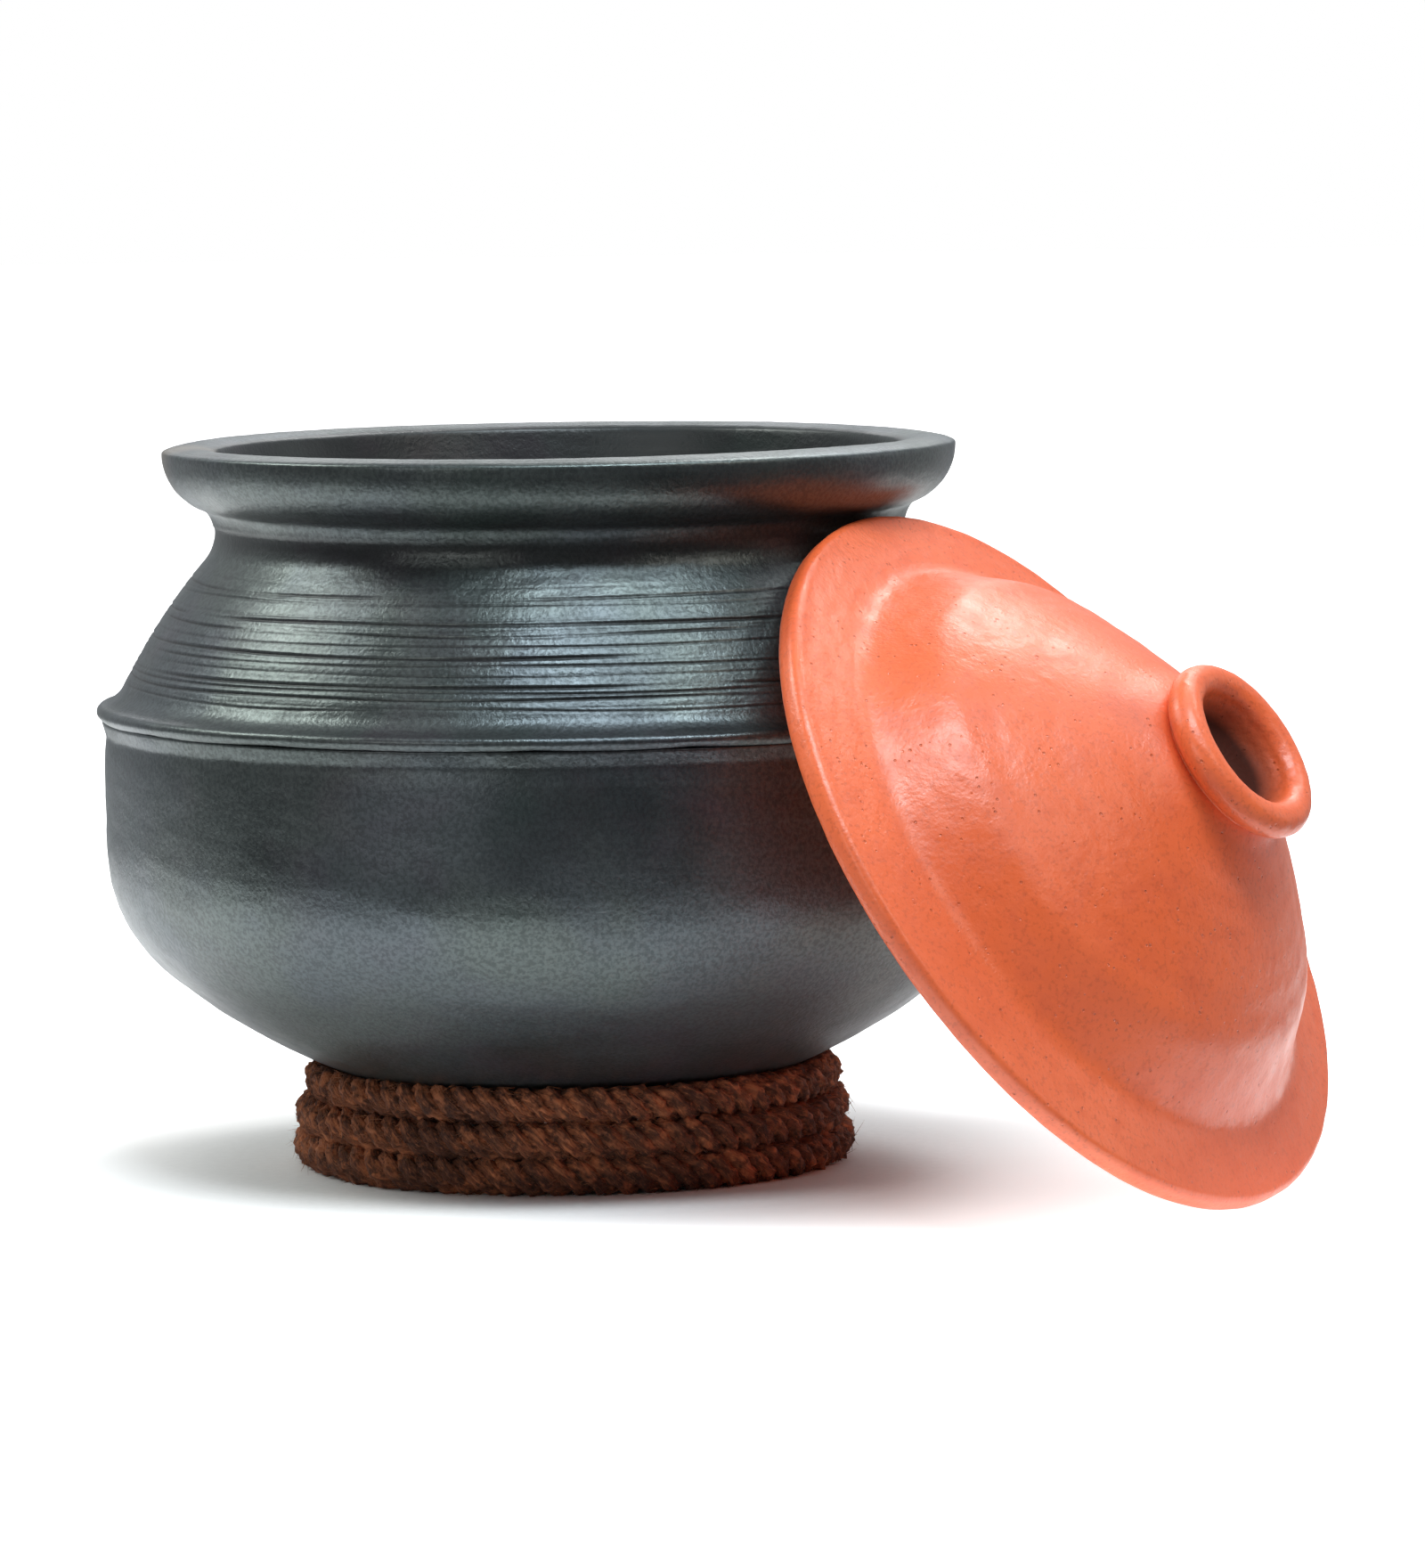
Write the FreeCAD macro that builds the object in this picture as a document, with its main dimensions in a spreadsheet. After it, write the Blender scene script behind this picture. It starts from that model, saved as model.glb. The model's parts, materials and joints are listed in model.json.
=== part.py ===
"""Black clay cooking pot on a coir rope ring, with its terracotta lid leaning on its neck.

Millimetres. The origin is on the pot's axis at floor level, +Z is up, and the lid leans towards +X.
The pot is two fired walls of revolution: a thrown shoulder that carries the rim and the ridge, and a
round-bottomed bowl luted under it. The lid is a thrown dome with a hollow knob luted on top. Three
stacked turns of rope hold the round bottom clear of the floor, and twine binds the two rope ends.
"""
import FreeCAD, Part
import math
import os
import re

import Sketcher

OUTPUT_FOLDER = "parts"
LEFT = 1
RIGHT = -1

SIZES = [
    ("wall", 6, "thickness of the fired clay"),
    # rim
    ("mouth_radius", 92.2, "inner edge of the rim"),
    ("mouth_height", 194.2, "inner edge of the rim"),
    ("rim_crown_round", 19.5, "arc across the top of the rim"),
    ("lip_top_radius", 106.6, "where the rim's crown meets its nose"),
    ("lip_top_height", 193.9, "where the rim's crown meets its nose"),
    ("lip_radius", 107.2, "outermost edge of the rim"),
    ("lip_height", 193, "outermost edge of the rim"),
    ("lip_nose_round", 0.8, "arc that softens the rim's outer edge"),
    ("flare_round", 16.3, "arc under the flared rim"),
    # neck
    ("neck_centre_radius", 103.5, "centre of the hollow arc of the neck"),
    ("neck_centre_height", 171, "centre of the hollow arc of the neck"),
    ("neck_round", 10.2, "hollow arc of the neck"),
    ("crease_height", 177.4, "crease between rim and neck"),
    ("neck_base_height", 164.4, "where the neck meets the shoulder"),
    ("throat_top_height", 176, "top of the neck inside"),
    ("throat_base_height", 161.3, "bottom of the neck inside"),
    # shoulder and ridge
    ("shoulder_round", 167, "arc of the shoulder outside"),
    ("ridge_root_radius", 118, "where the shoulder turns out into the ridge"),
    ("ridge_root_height", 130.8, "where the shoulder turns out into the ridge"),
    ("ridge_cove_round", 9.6, "hollow arc above the ridge"),
    ("ridge_top_radius", 124.3, "upper end of the ridge's nose"),
    ("ridge_top_height", 125.7, "upper end of the ridge's nose"),
    ("ridge_nose_round", 1.75, "nose of the ridge"),
    ("ridge_foot_radius", 124.4, "lower end of the ridge's nose"),
    ("ridge_foot_height", 122.3, "lower end of the ridge's nose"),
    # joint between shoulder and bowl
    ("seam_radius", 122.9, "luted joint, outer edge"),
    ("seam_height", 119.3, "luted joint, outer edge"),
    ("seam_rise", 3, "how far the luted joint climbs inwards"),
    # bowl
    ("belly_radius", 123.7, "upright wall of the bowl"),
    ("belly_top_height", 106, "top of the upright wall"),
    ("belly_base_height", 88.8, "bottom of the upright wall"),
    ("belly_round", 111, "arc from the upright wall up to the joint"),
    ("corner_round", 47, "arc from the wall to the bottom"),
    ("bottom_round", 166, "sphere of the round bottom"),
    # lid, measured up from the plane of its rim
    ("lid_edge_radius", 100.5, "centre of the rounded edge"),
    ("lid_edge_round", 3.5, "rounded edge"),
    ("brim_radius", 86.4, "inner end of the flat brim"),
    ("brim_height", 10.3, "inner end of the flat brim"),
    ("step_foot_radius", 81.5, "foot of the step"),
    ("step_foot_height", 13.4, "foot of the step"),
    ("step_foot_round", 9, "hollow arc at the foot of the step"),
    ("step_top_radius", 72, "top of the step"),
    ("step_top_height", 26, "top of the step"),
    ("step_top_round", 14, "arc over the top of the step"),
    ("dome_foot_radius", 69, "foot of the dome"),
    ("dome_foot_height", 28.9, "foot of the dome"),
    ("dome_round", 379, "arc of the dome outside"),
    ("crown_radius", 25, "flat crown that carries the knob"),
    ("crown_height", 55, "flat crown that carries the knob"),
    ("dome_under_radius", 22.4, "inner edge of the dome underneath"),
    ("dome_under_height", 49.6, "inner edge of the dome underneath"),
    ("skirt_radius", 65.6, "foot of the dome underneath"),
    ("skirt_height", 24, "foot of the dome underneath"),
    ("skirt_foot_radius", 77.5, "foot of the step underneath"),
    ("skirt_foot_height", 8.4, "foot of the step underneath"),
    ("bearing_radius", 93, "inner edge of the face that sits on the rim"),
    # knob, measured up from the plane of the lid's rim
    ("knob_offset", 3.1, "how far the knob sits off the lid's centre"),
    ("knob_foot_radius", 21.5, "foot of the knob"),
    ("knob_waist_radius", 21.3, "crease under the knob's lip"),
    ("knob_waist_height", 59, "crease under the knob's lip"),
    ("knob_lip_radius", 20.9, "centre of the knob's rounded lip"),
    ("knob_lip_height", 63.5, "centre of the knob's rounded lip"),
    ("knob_lip_round", 4.5, "rounded lip of the knob"),
    ("well_radius", 15.6, "finger well, where its floor turns up"),
    ("well_turn_height", 61.2, "finger well, where its floor turns up"),
    ("well_floor_radius", 11, "flat floor of the finger well"),
    ("well_floor_height", 57, "flat floor of the finger well"),
    ("well_round", 4.7, "arc from the well's floor to its wall"),
    # how the lid leans
    ("lid_tilt", 33, "angle of the lid's axis above level, in degrees"),
    ("lean_gap", 0.3, "gap between the lid's edge and the neck"),
    # rope ring
    ("rope_round", 5.1, "half the rope's thickness"),
    ("lower_turn_radius", 71.4, "lower turn of rope"),
    ("lower_turn_height", 4.95, "lower turn of rope"),
    ("middle_turn_radius", 68, "middle turn of rope"),
    ("middle_turn_height", 14.2, "middle turn of rope"),
    ("upper_turn_radius", 69, "upper turn of rope"),
    ("upper_turn_height", 23.8, "upper turn of rope"),
    ("seat_gap", 0.3, "gap between the rope and the pot's bottom"),
    # twine whippings on the rope's ends
    ("whipping_span", 8, "turn of the ring that a whipping covers, in degrees"),
    ("lower_whipping_start", 135, "where the lower rope end is, in degrees from +X"),
    ("lower_whipping_round", 4.7, "half the lower whipping's thickness"),
    ("lower_notch_top", 9.7, "top of the room left for the lower whipping"),
    ("upper_whipping_start", 102, "where the upper rope end is, in degrees from +X"),
    ("upper_whipping_round", 4.2, "half the upper whipping's thickness"),
    ("upper_whipping_height", 23.6, "centre of the upper whipping"),
    ("upper_notch_base", 19.1, "bottom of the room left for the upper whipping"),
    ("notch_radius", 85, "outer reach of the room left for a whipping"),
]
ALIASES = {alias for alias, size, note in SIZES}

# Heights and radii that follow from the sizes above.
BOTTOM_CENTRE = "(belly_base_height + sqrt((bottom_round - corner_round)^2 - (belly_radius - corner_round)^2))"
CORNER_SINE = "((belly_radius - corner_round) / (bottom_round - corner_round))"
CORNER_COSINE = "sqrt(1 - {0} * {0})".format(CORNER_SINE)
LID_TOP_HEIGHT = "(2 * lid_edge_radius * cos(lid_tilt) + lid_edge_round)"
LID_TOP_REACH = (
    "(neck_centre_radius - sqrt((neck_round - lean_gap - lid_edge_round)^2"
    " - (neck_centre_height - {0})^2))".format(LID_TOP_HEIGHT)
)

doc = FreeCAD.newDocument("ClayPot")
sheet = doc.addObject("Spreadsheet::Sheet", "Sizes")
for row, (alias, size, note) in enumerate(SIZES, start=1):
    sheet.set("A%d" % row, note)
    sheet.set("B%d" % row, str(size))
    sheet.setAlias("B%d" % row, alias)
doc.recompute()


def bound(expression):
    """The expression with each size spelt as a reference to the sheet."""
    def spell(word):
        return "Sizes." + word.group() if word.group() in ALIASES else word.group()
    return re.sub(r"[a-z_]+", spell, expression)


def number(expression):
    """What the expression comes to with the sheet's sizes."""
    return float(sheet.evalExpression(bound(expression)))


def neck_arc(height, thickness="0"):
    """Radius of the neck at a height, outside or a wall's thickness further in."""
    return "(neck_centre_radius - sqrt((neck_round + %s)^2 - (%s - neck_centre_height)^2))" % (thickness, height)


def new_body(label):
    body = doc.addObject("PartDesign::Body", label)
    body.Label = label
    return body


def outline(body, name, corners, edges):
    """Draws a closed outline on the body's XZ plane and binds it to the sheet.

    corners gives each corner's radius and height as expressions. edges runs round the outline:
    (corner, corner) is straight, and (corner, corner, radius, side) is an arc that bulges to the LEFT
    or the RIGHT of the way from its first corner to its second.
    """
    sketch = body.newObject("Sketcher::SketchObject", name)
    plane = [item for item in body.Origin.OriginFeatures if item.Role == "XZ_Plane"][0]
    sketch.AttachmentSupport = [(plane, "")]
    sketch.MapMode = "FlatFace"
    places = {}
    for corner, (radius, height) in corners.items():
        places[corner] = FreeCAD.Vector(number(radius), number(height), 0)
    ends = []
    for edge in edges:
        start = places[edge[0]]
        end = places[edge[1]]
        if len(edge) == 2:
            sketch.addGeometry(Part.LineSegment(start, end), False)
            ends.append((1, 2))
        else:
            sketch.addGeometry(arc(start, end, number(edge[2]), edge[3]), False)
            ends.append((1, 2) if edge[3] == RIGHT else (2, 1))
    for index, edge in enumerate(edges):
        following = (index + 1) % len(edges)
        sketch.addConstraint(
            Sketcher.Constraint("Coincident", index, ends[index][1], following, ends[following][0]))
        corner = edge[0]
        for kind, axis, expression in zip(("DistanceX", "DistanceY"), (-2, -1), corners[corner]):
            if expression == "0":
                sketch.addConstraint(Sketcher.Constraint("PointOnObject", index, ends[index][0], axis))
            else:
                bind(sketch, (kind, index, ends[index][0]), corner + "_" + kind, expression)
        if len(edge) == 4:
            bind(sketch, ("Radius", index), corner + "_Radius", edge[2])
    return sketch


def arc(start, end, rounding, side):
    """The shorter arc of a radius between two points. An arc that bulges to the LEFT runs backwards."""
    chord = end - start
    inward = FreeCAD.Vector(chord.y, -chord.x, 0).normalize() * side
    centre = (start + end) * 0.5 + inward * math.sqrt(rounding ** 2 - chord.Length ** 2 / 4)
    first, last = (end, start) if side == LEFT else (start, end)
    angles = [math.atan2(point.y - centre.y, point.x - centre.x) for point in (first, last)]
    return Part.ArcOfCircle(Part.Circle(centre, FreeCAD.Vector(0, 0, 1), rounding), *angles)


def bind(sketch, constraint, name, expression):
    """Adds a dimension to a sketch and ties it to the sheet."""
    index = sketch.addConstraint(Sketcher.Constraint(*constraint, number(expression)))
    sketch.renameConstraint(index, name)
    sketch.setExpression("Constraints." + name, bound(expression))


def turned(body, sketch):
    """Turns an outline once round the body's own Z axis."""
    solid = body.newObject("PartDesign::Revolution", body.Name + "_turned")
    solid.Profile = sketch
    solid.ReferenceAxis = (sketch, ["V_Axis"])
    solid.Angle = 360
    return body


def pot_shoulder():
    """Rim, neck, shoulder and ridge, one thrown wall, open at both ends."""
    body = new_body("pot_shoulder")
    corners = {
        "mouth": ("mouth_radius", "mouth_height"),
        "lip_top": ("lip_top_radius", "lip_top_height"),
        "lip": ("lip_radius", "lip_height"),
        "crease": (neck_arc("crease_height"), "crease_height"),
        "neck_base": (neck_arc("neck_base_height"), "neck_base_height"),
        "ridge_root": ("ridge_root_radius", "ridge_root_height"),
        "ridge_top": ("ridge_top_radius", "ridge_top_height"),
        "ridge_foot": ("ridge_foot_radius", "ridge_foot_height"),
        "seam_out": ("seam_radius", "seam_height"),
        "seam_in": ("seam_radius - wall", "seam_height + seam_rise"),
        "throat_base": (neck_arc("throat_base_height", "wall"), "throat_base_height"),
        "throat_top": (neck_arc("throat_top_height", "wall"), "throat_top_height"),
    }
    edges = [
        ("mouth", "lip_top", "rim_crown_round", LEFT),
        ("lip_top", "lip", "lip_nose_round", LEFT),
        ("lip", "crease", "flare_round", LEFT),
        ("crease", "neck_base", "neck_round", RIGHT),
        ("neck_base", "ridge_root", "shoulder_round", LEFT),
        ("ridge_root", "ridge_top", "ridge_cove_round", RIGHT),
        ("ridge_top", "ridge_foot", "ridge_nose_round", LEFT),
        ("ridge_foot", "seam_out"),
        ("seam_out", "seam_in"),
        ("seam_in", "throat_base", "shoulder_round - wall", RIGHT),
        ("throat_base", "throat_top", "neck_round + wall", LEFT),
        ("throat_top", "mouth"),
    ]
    return turned(body, outline(body, "shoulder_outline", corners, edges))


def pot_bowl():
    """Lower wall and round bottom, from the luted joint down."""
    body = new_body("pot_bowl")
    corner_height = BOTTOM_CENTRE + " - (%s) * " + CORNER_COSINE
    corners = {
        "seam_out": ("seam_radius", "seam_height"),
        "belly_top": ("belly_radius", "belly_top_height"),
        "belly_base": ("belly_radius", "belly_base_height"),
        "corner": ("bottom_round * " + CORNER_SINE, corner_height % "bottom_round"),
        "bottom": ("0", BOTTOM_CENTRE + " - bottom_round"),
        "floor": ("0", BOTTOM_CENTRE + " - bottom_round + wall"),
        "corner_in": ("(bottom_round - wall) * " + CORNER_SINE, corner_height % "bottom_round - wall"),
        "belly_base_in": ("belly_radius - wall", "belly_base_height"),
        "belly_top_in": ("belly_radius - wall", "belly_top_height"),
        "seam_in": ("seam_radius - wall", "seam_height + seam_rise"),
    }
    edges = [
        ("seam_out", "belly_top", "belly_round", LEFT),
        ("belly_top", "belly_base"),
        ("belly_base", "corner", "corner_round", LEFT),
        ("corner", "bottom", "bottom_round", LEFT),
        ("bottom", "floor"),
        ("floor", "corner_in", "bottom_round - wall", RIGHT),
        ("corner_in", "belly_base_in", "corner_round - wall", RIGHT),
        ("belly_base_in", "belly_top_in"),
        ("belly_top_in", "seam_in"),
        ("seam_in", "seam_out"),
    ]
    return turned(body, outline(body, "bowl_outline", corners, edges))


def lean(body, offset):
    """Leans a piece of the lid on the neck, offset along the lid towards the floor."""
    body.Placement = FreeCAD.Placement(
        FreeCAD.Vector(), FreeCAD.Rotation(FreeCAD.Vector(0, 1, 0), 90 - number("lid_tilt")))
    body.setExpression("Placement.Rotation.Angle", bound("(90 - lid_tilt) * 1 deg"))
    reach = "lid_edge_radius * sin(lid_tilt) - lid_edge_round * cos(lid_tilt) + (%s) * sin(lid_tilt)" % offset
    rise = "-lid_edge_radius * cos(lid_tilt) - lid_edge_round * sin(lid_tilt) - (%s) * cos(lid_tilt)" % offset
    body.setExpression("Placement.Base.x", bound("(%s + %s) * 1 mm" % (LID_TOP_REACH, reach)))
    body.setExpression("Placement.Base.z", bound("(%s + %s) * 1 mm" % (LID_TOP_HEIGHT, rise)))
    return body


def lid_dome():
    """Thrown lid: rounded edge, flat brim, step and dome, hollow underneath."""
    body = new_body("lid_dome")
    corners = {
        "bearing_out": ("lid_edge_radius", "0"),
        "edge": ("lid_edge_radius + lid_edge_round", "lid_edge_round"),
        "brim_out": ("lid_edge_radius", "2 * lid_edge_round"),
        "brim_in": ("brim_radius", "brim_height"),
        "step_foot": ("step_foot_radius", "step_foot_height"),
        "step_top": ("step_top_radius", "step_top_height"),
        "dome_foot": ("dome_foot_radius", "dome_foot_height"),
        "crown_out": ("crown_radius", "crown_height"),
        "crown": ("0", "crown_height"),
        "ceiling": ("0", "dome_under_height"),
        "ceiling_out": ("dome_under_radius", "dome_under_height"),
        "skirt": ("skirt_radius", "skirt_height"),
        "skirt_foot": ("skirt_foot_radius", "skirt_foot_height"),
        "bearing_in": ("bearing_radius", "0"),
    }
    edges = [
        ("bearing_out", "edge", "lid_edge_round", RIGHT),
        ("edge", "brim_out", "lid_edge_round", RIGHT),
        ("brim_out", "brim_in"),
        ("brim_in", "step_foot", "step_foot_round", LEFT),
        ("step_foot", "step_top"),
        ("step_top", "dome_foot", "step_top_round", RIGHT),
        ("dome_foot", "crown_out", "dome_round", RIGHT),
        ("crown_out", "crown"),
        ("crown", "ceiling"),
        ("ceiling", "ceiling_out"),
        ("ceiling_out", "skirt", "dome_round - wall", LEFT),
        ("skirt", "skirt_foot"),
        ("skirt_foot", "bearing_in"),
        ("bearing_in", "bearing_out"),
    ]
    return lean(turned(body, outline(body, "dome_outline", corners, edges)), "0")


def lid_knob():
    """Hollow knob: a short neck, a rounded lip and a finger well."""
    body = new_body("lid_knob")
    corners = {
        "foot": ("0", "crown_height"),
        "foot_out": ("knob_foot_radius", "crown_height"),
        "waist": ("knob_waist_radius", "knob_waist_height"),
        "lip_out": ("knob_lip_radius + knob_lip_round", "knob_lip_height"),
        "lip_top": ("knob_lip_radius", "knob_lip_height + knob_lip_round"),
        "lip_in": ("knob_lip_radius - knob_lip_round", "knob_lip_height"),
        "well": ("well_radius", "well_turn_height"),
        "well_floor_out": ("well_floor_radius", "well_floor_height"),
        "well_floor": ("0", "well_floor_height"),
    }
    edges = [
        ("foot", "foot_out"),
        ("foot_out", "waist"),
        ("waist", "lip_out", "knob_lip_round", RIGHT),
        ("lip_out", "lip_top", "knob_lip_round", RIGHT),
        ("lip_top", "lip_in", "knob_lip_round", RIGHT),
        ("lip_in", "well"),
        ("well", "well_floor_out", "well_round", LEFT),
        ("well_floor_out", "well_floor"),
        ("well_floor", "foot"),
    ]
    return lean(turned(body, outline(body, "knob_outline", corners, edges)), "knob_offset")


def sized(kind, name, height="0", start="0", **sizes):
    """A Part primitive on the pot's axis, raised and turned as the sheet says."""
    item = doc.addObject(kind, name)
    item.Placement = FreeCAD.Placement(
        FreeCAD.Vector(), FreeCAD.Rotation(FreeCAD.Vector(0, 0, 1), number(start)))
    item.setExpression("Placement.Base.z", bound("(%s) * 1 mm" % height))
    if start != "0":
        item.setExpression("Placement.Rotation.Angle", bound("(%s) * 1 deg" % start))
    for size, expression in sizes.items():
        unit = "deg" if size.startswith("Angle") else "mm"
        item.setExpression(size, bound("(%s) * 1 %s" % (expression, unit)))
    return item


def rope_coil():
    """Three stacked turns of rope, with a seat for the bottom and room for the two whippings."""
    turns = []
    for turn in ("lower", "middle", "upper"):
        turns.append(sized("Part::Torus", turn + "_turn", height=turn + "_turn_height",
                           Radius1=turn + "_turn_radius", Radius2="rope_round"))
    stack = doc.addObject("Part::MultiFuse", "turns")
    stack.Shapes = turns
    notch_depth = "upper_turn_height + 2 * rope_round - upper_notch_base"
    cutters = [
        sized("Part::Sphere", "seat", height=BOTTOM_CENTRE, Radius="bottom_round + seat_gap"),
        sized("Part::Cylinder", "floor_flat", height="-rope_round", Radius="notch_radius", Height="rope_round"),
        sized("Part::Cylinder", "lower_notch", start="lower_whipping_start", Radius="notch_radius",
              Height="lower_notch_top", Angle="whipping_span"),
        sized("Part::Cylinder", "upper_notch", height="upper_notch_base", start="upper_whipping_start",
              Radius="notch_radius", Height=notch_depth, Angle="whipping_span"),
    ]
    room = doc.addObject("Part::MultiFuse", "room")
    room.Shapes = cutters
    coil = doc.addObject("Part::Cut", "rope_coil")
    coil.Label = "rope_coil"
    coil.Base = stack
    coil.Tool = room
    return coil


def whipping(turn, height):
    """Twine bound tightly round one end of the rope, bent with the ring."""
    label = turn + "_whipping"
    item = sized("Part::Torus", label, height=height, start=label + "_start", Radius1=turn + "_turn_radius",
                 Radius2=label + "_round", Angle3="whipping_span")
    item.Label = label
    return item


pieces = [
    pot_shoulder(),
    pot_bowl(),
    lid_dome(),
    lid_knob(),
    rope_coil(),
    whipping("lower", "lower_turn_height"),
    whipping("upper", "upper_whipping_height"),
]
doc.recompute()

for item in doc.Objects:
    if "Invalid" in item.State or "Error" in item.State:
        raise RuntimeError("%s failed: %s" % (item.Name, item.State))
for piece in pieces:
    if piece.Shape.isNull() or not piece.Shape.isValid() or len(piece.Shape.Solids) != 1:
        raise RuntimeError("%s is not one valid solid" % piece.Label)

os.makedirs(OUTPUT_FOLDER, exist_ok=True)
for piece in pieces:
    piece.Shape.exportStep(os.path.join(OUTPUT_FOLDER, piece.Label + ".step"))
    box = piece.Shape.BoundBox
    print("%-16s %9.1f mm3  x %7.2f..%7.2f  y %7.2f..%7.2f  z %7.2f..%7.2f" % (
        piece.Label, piece.Shape.Volume, box.XMin, box.XMax, box.YMin, box.YMax, box.ZMin, box.ZMax))
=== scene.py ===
"""Looks of a black clay cooking pot on a coir rope ring, with its terracotta lid leaning on its neck.

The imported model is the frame. Every fired piece is rebuilt here as a closed skin with the marks of
throwing, trimming and firing on it, and the rope ring as three twisted strands. Metres, +Z up.
"""
import json
import math
import random

import bpy
import numpy as np
from mathutils import Matrix, Vector


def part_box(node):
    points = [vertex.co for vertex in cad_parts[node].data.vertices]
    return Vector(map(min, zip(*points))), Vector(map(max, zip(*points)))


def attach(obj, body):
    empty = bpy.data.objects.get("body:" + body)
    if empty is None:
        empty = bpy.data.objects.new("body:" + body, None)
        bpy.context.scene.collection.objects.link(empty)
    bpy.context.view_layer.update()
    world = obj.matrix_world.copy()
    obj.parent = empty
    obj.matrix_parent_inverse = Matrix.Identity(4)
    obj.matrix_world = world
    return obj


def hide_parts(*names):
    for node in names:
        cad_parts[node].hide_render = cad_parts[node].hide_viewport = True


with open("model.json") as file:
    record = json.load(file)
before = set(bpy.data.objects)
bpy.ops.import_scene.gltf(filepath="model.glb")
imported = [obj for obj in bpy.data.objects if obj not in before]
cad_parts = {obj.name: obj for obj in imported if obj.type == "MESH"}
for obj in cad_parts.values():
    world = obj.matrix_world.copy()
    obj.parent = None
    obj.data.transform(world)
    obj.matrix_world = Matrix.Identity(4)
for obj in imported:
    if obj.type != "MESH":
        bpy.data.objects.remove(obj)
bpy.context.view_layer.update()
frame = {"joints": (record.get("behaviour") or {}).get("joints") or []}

MM = 0.001
TAU = 2 * math.pi
# Within this radius the marks on a turned piece fade out towards its pole.
CALM_MIDDLE = 8 * MM

# ---------------------------------------------------------------- camera

# The pot is seen from the side that the lid's knob faces, from a little above its rim.
VIEW_AZIMUTH = math.radians(31.5)
VIEW_REACH = 2.03256
VIEW_HEIGHT = 0.2978
VIEW_TURN = math.radians(1.136)
VIEW_DIP = math.radians(5.527)
VIEW_ROLL = math.radians(-0.777)
LENS = 173.2
TOWARDS_VIEW = Vector((math.sin(VIEW_AZIMUTH), -math.cos(VIEW_AZIMUTH), 0))
RIGHT_IN_VIEW = Vector((math.cos(VIEW_AZIMUTH), math.sin(VIEW_AZIMUTH), 0))


def make_camera():
    """The photograph's view: a long lens some two metres off, turned and dipped a little off the pot."""
    data = bpy.data.cameras.new("camera")
    data.lens = LENS
    data.sensor_width = 36
    data.clip_end = 50
    camera = bpy.data.objects.new("camera", data)
    bpy.context.scene.collection.objects.link(camera)
    heading = Matrix.Rotation(VIEW_AZIMUTH - VIEW_TURN, 4, "Z")
    dip = Matrix.Rotation(math.pi / 2 - VIEW_DIP, 4, "X")
    roll = Matrix.Rotation(VIEW_ROLL, 4, "Z")
    place = Matrix.Translation(TOWARDS_VIEW * VIEW_REACH + Vector((0, 0, VIEW_HEIGHT)))
    camera.matrix_world = place @ heading @ dip @ roll
    bpy.context.scene.camera = camera


make_camera()
bpy.context.scene.view_settings.view_transform = "Standard"

# ---------------------------------------------------------------- mesh helpers


def trace(*corners):
    """Points along an outline, as an array of radius and height in metres.

    A corner is (radius, height, arc, step) in millimetres. arc is the radius of the arc to the next
    corner, above 0 where it bulges to the left of the way there, below 0 to the right, and 0 where the
    way is straight. step is the spacing of the points on the way.
    """
    points = []
    for (x0, y0, arc, step), following in zip(corners, corners[1:]):
        start = complex(x0, y0)
        end = complex(following[0], following[1])
        chord = end - start
        count = max(1, round(abs(chord) / step))
        share = np.arange(count) / count
        if arc:
            side = math.copysign(1, arc)
            inset = math.sqrt(arc ** 2 - abs(chord) ** 2 / 4)
            centre = (start + end) / 2 - 1j * side * chord / abs(chord) * inset
            sweep = 2 * math.asin(abs(chord) / 2 / abs(arc))
            points.append(centre + (start - centre) * np.exp(-1j * side * sweep * share))
        else:
            points.append(start + chord * share)
    points.append(np.array([complex(corners[-1][0], corners[-1][1])]))
    line = np.concatenate(points)
    return np.stack([line.real, line.imag], axis=1) * MM


def soften(outline, times, ring=False):
    """Rounds an outline's corners a little, as wet clay does."""
    for _ in range(times):
        if ring:
            outline = (np.roll(outline, 1, 0) + 2 * outline + np.roll(outline, -1, 0)) / 4
        else:
            inner = (outline[:-2] + 2 * outline[1:-1] + outline[2:]) / 4
            outline = np.concatenate([outline[:1], inner, outline[-1:]])
    return outline


def facing(outline, ring=False):
    """Unit normals to the left of an outline's direction."""
    if ring:
        along = np.roll(outline, -1, 0) - np.roll(outline, 1, 0)
    else:
        along = np.gradient(outline, axis=0)
    along /= np.linalg.norm(along, axis=1)[:, None]
    return np.stack([-along[:, 1], along[:, 0]], axis=1)


def wobble(seed, size, around, along, waves=10):
    """A smooth irregular pattern over azimuth and a distance, seamless round the axis.

    size is its height in metres, around the most waves in one turn, and along the most waves in a metre.
    """
    draw = random.Random(seed)
    parts = []
    for _ in range(waves):
        parts.append((draw.randint(0, around), draw.uniform(-along, along) * TAU, draw.uniform(0, TAU),
                      draw.uniform(0.4, 1)))
    scale = size / math.sqrt(sum(part[3] ** 2 for part in parts) / 2)

    def at(turn, distance):
        return scale * sum(w * np.cos(n * turn + k * distance + p) for n, k, p, w in parts)
    return at


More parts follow.
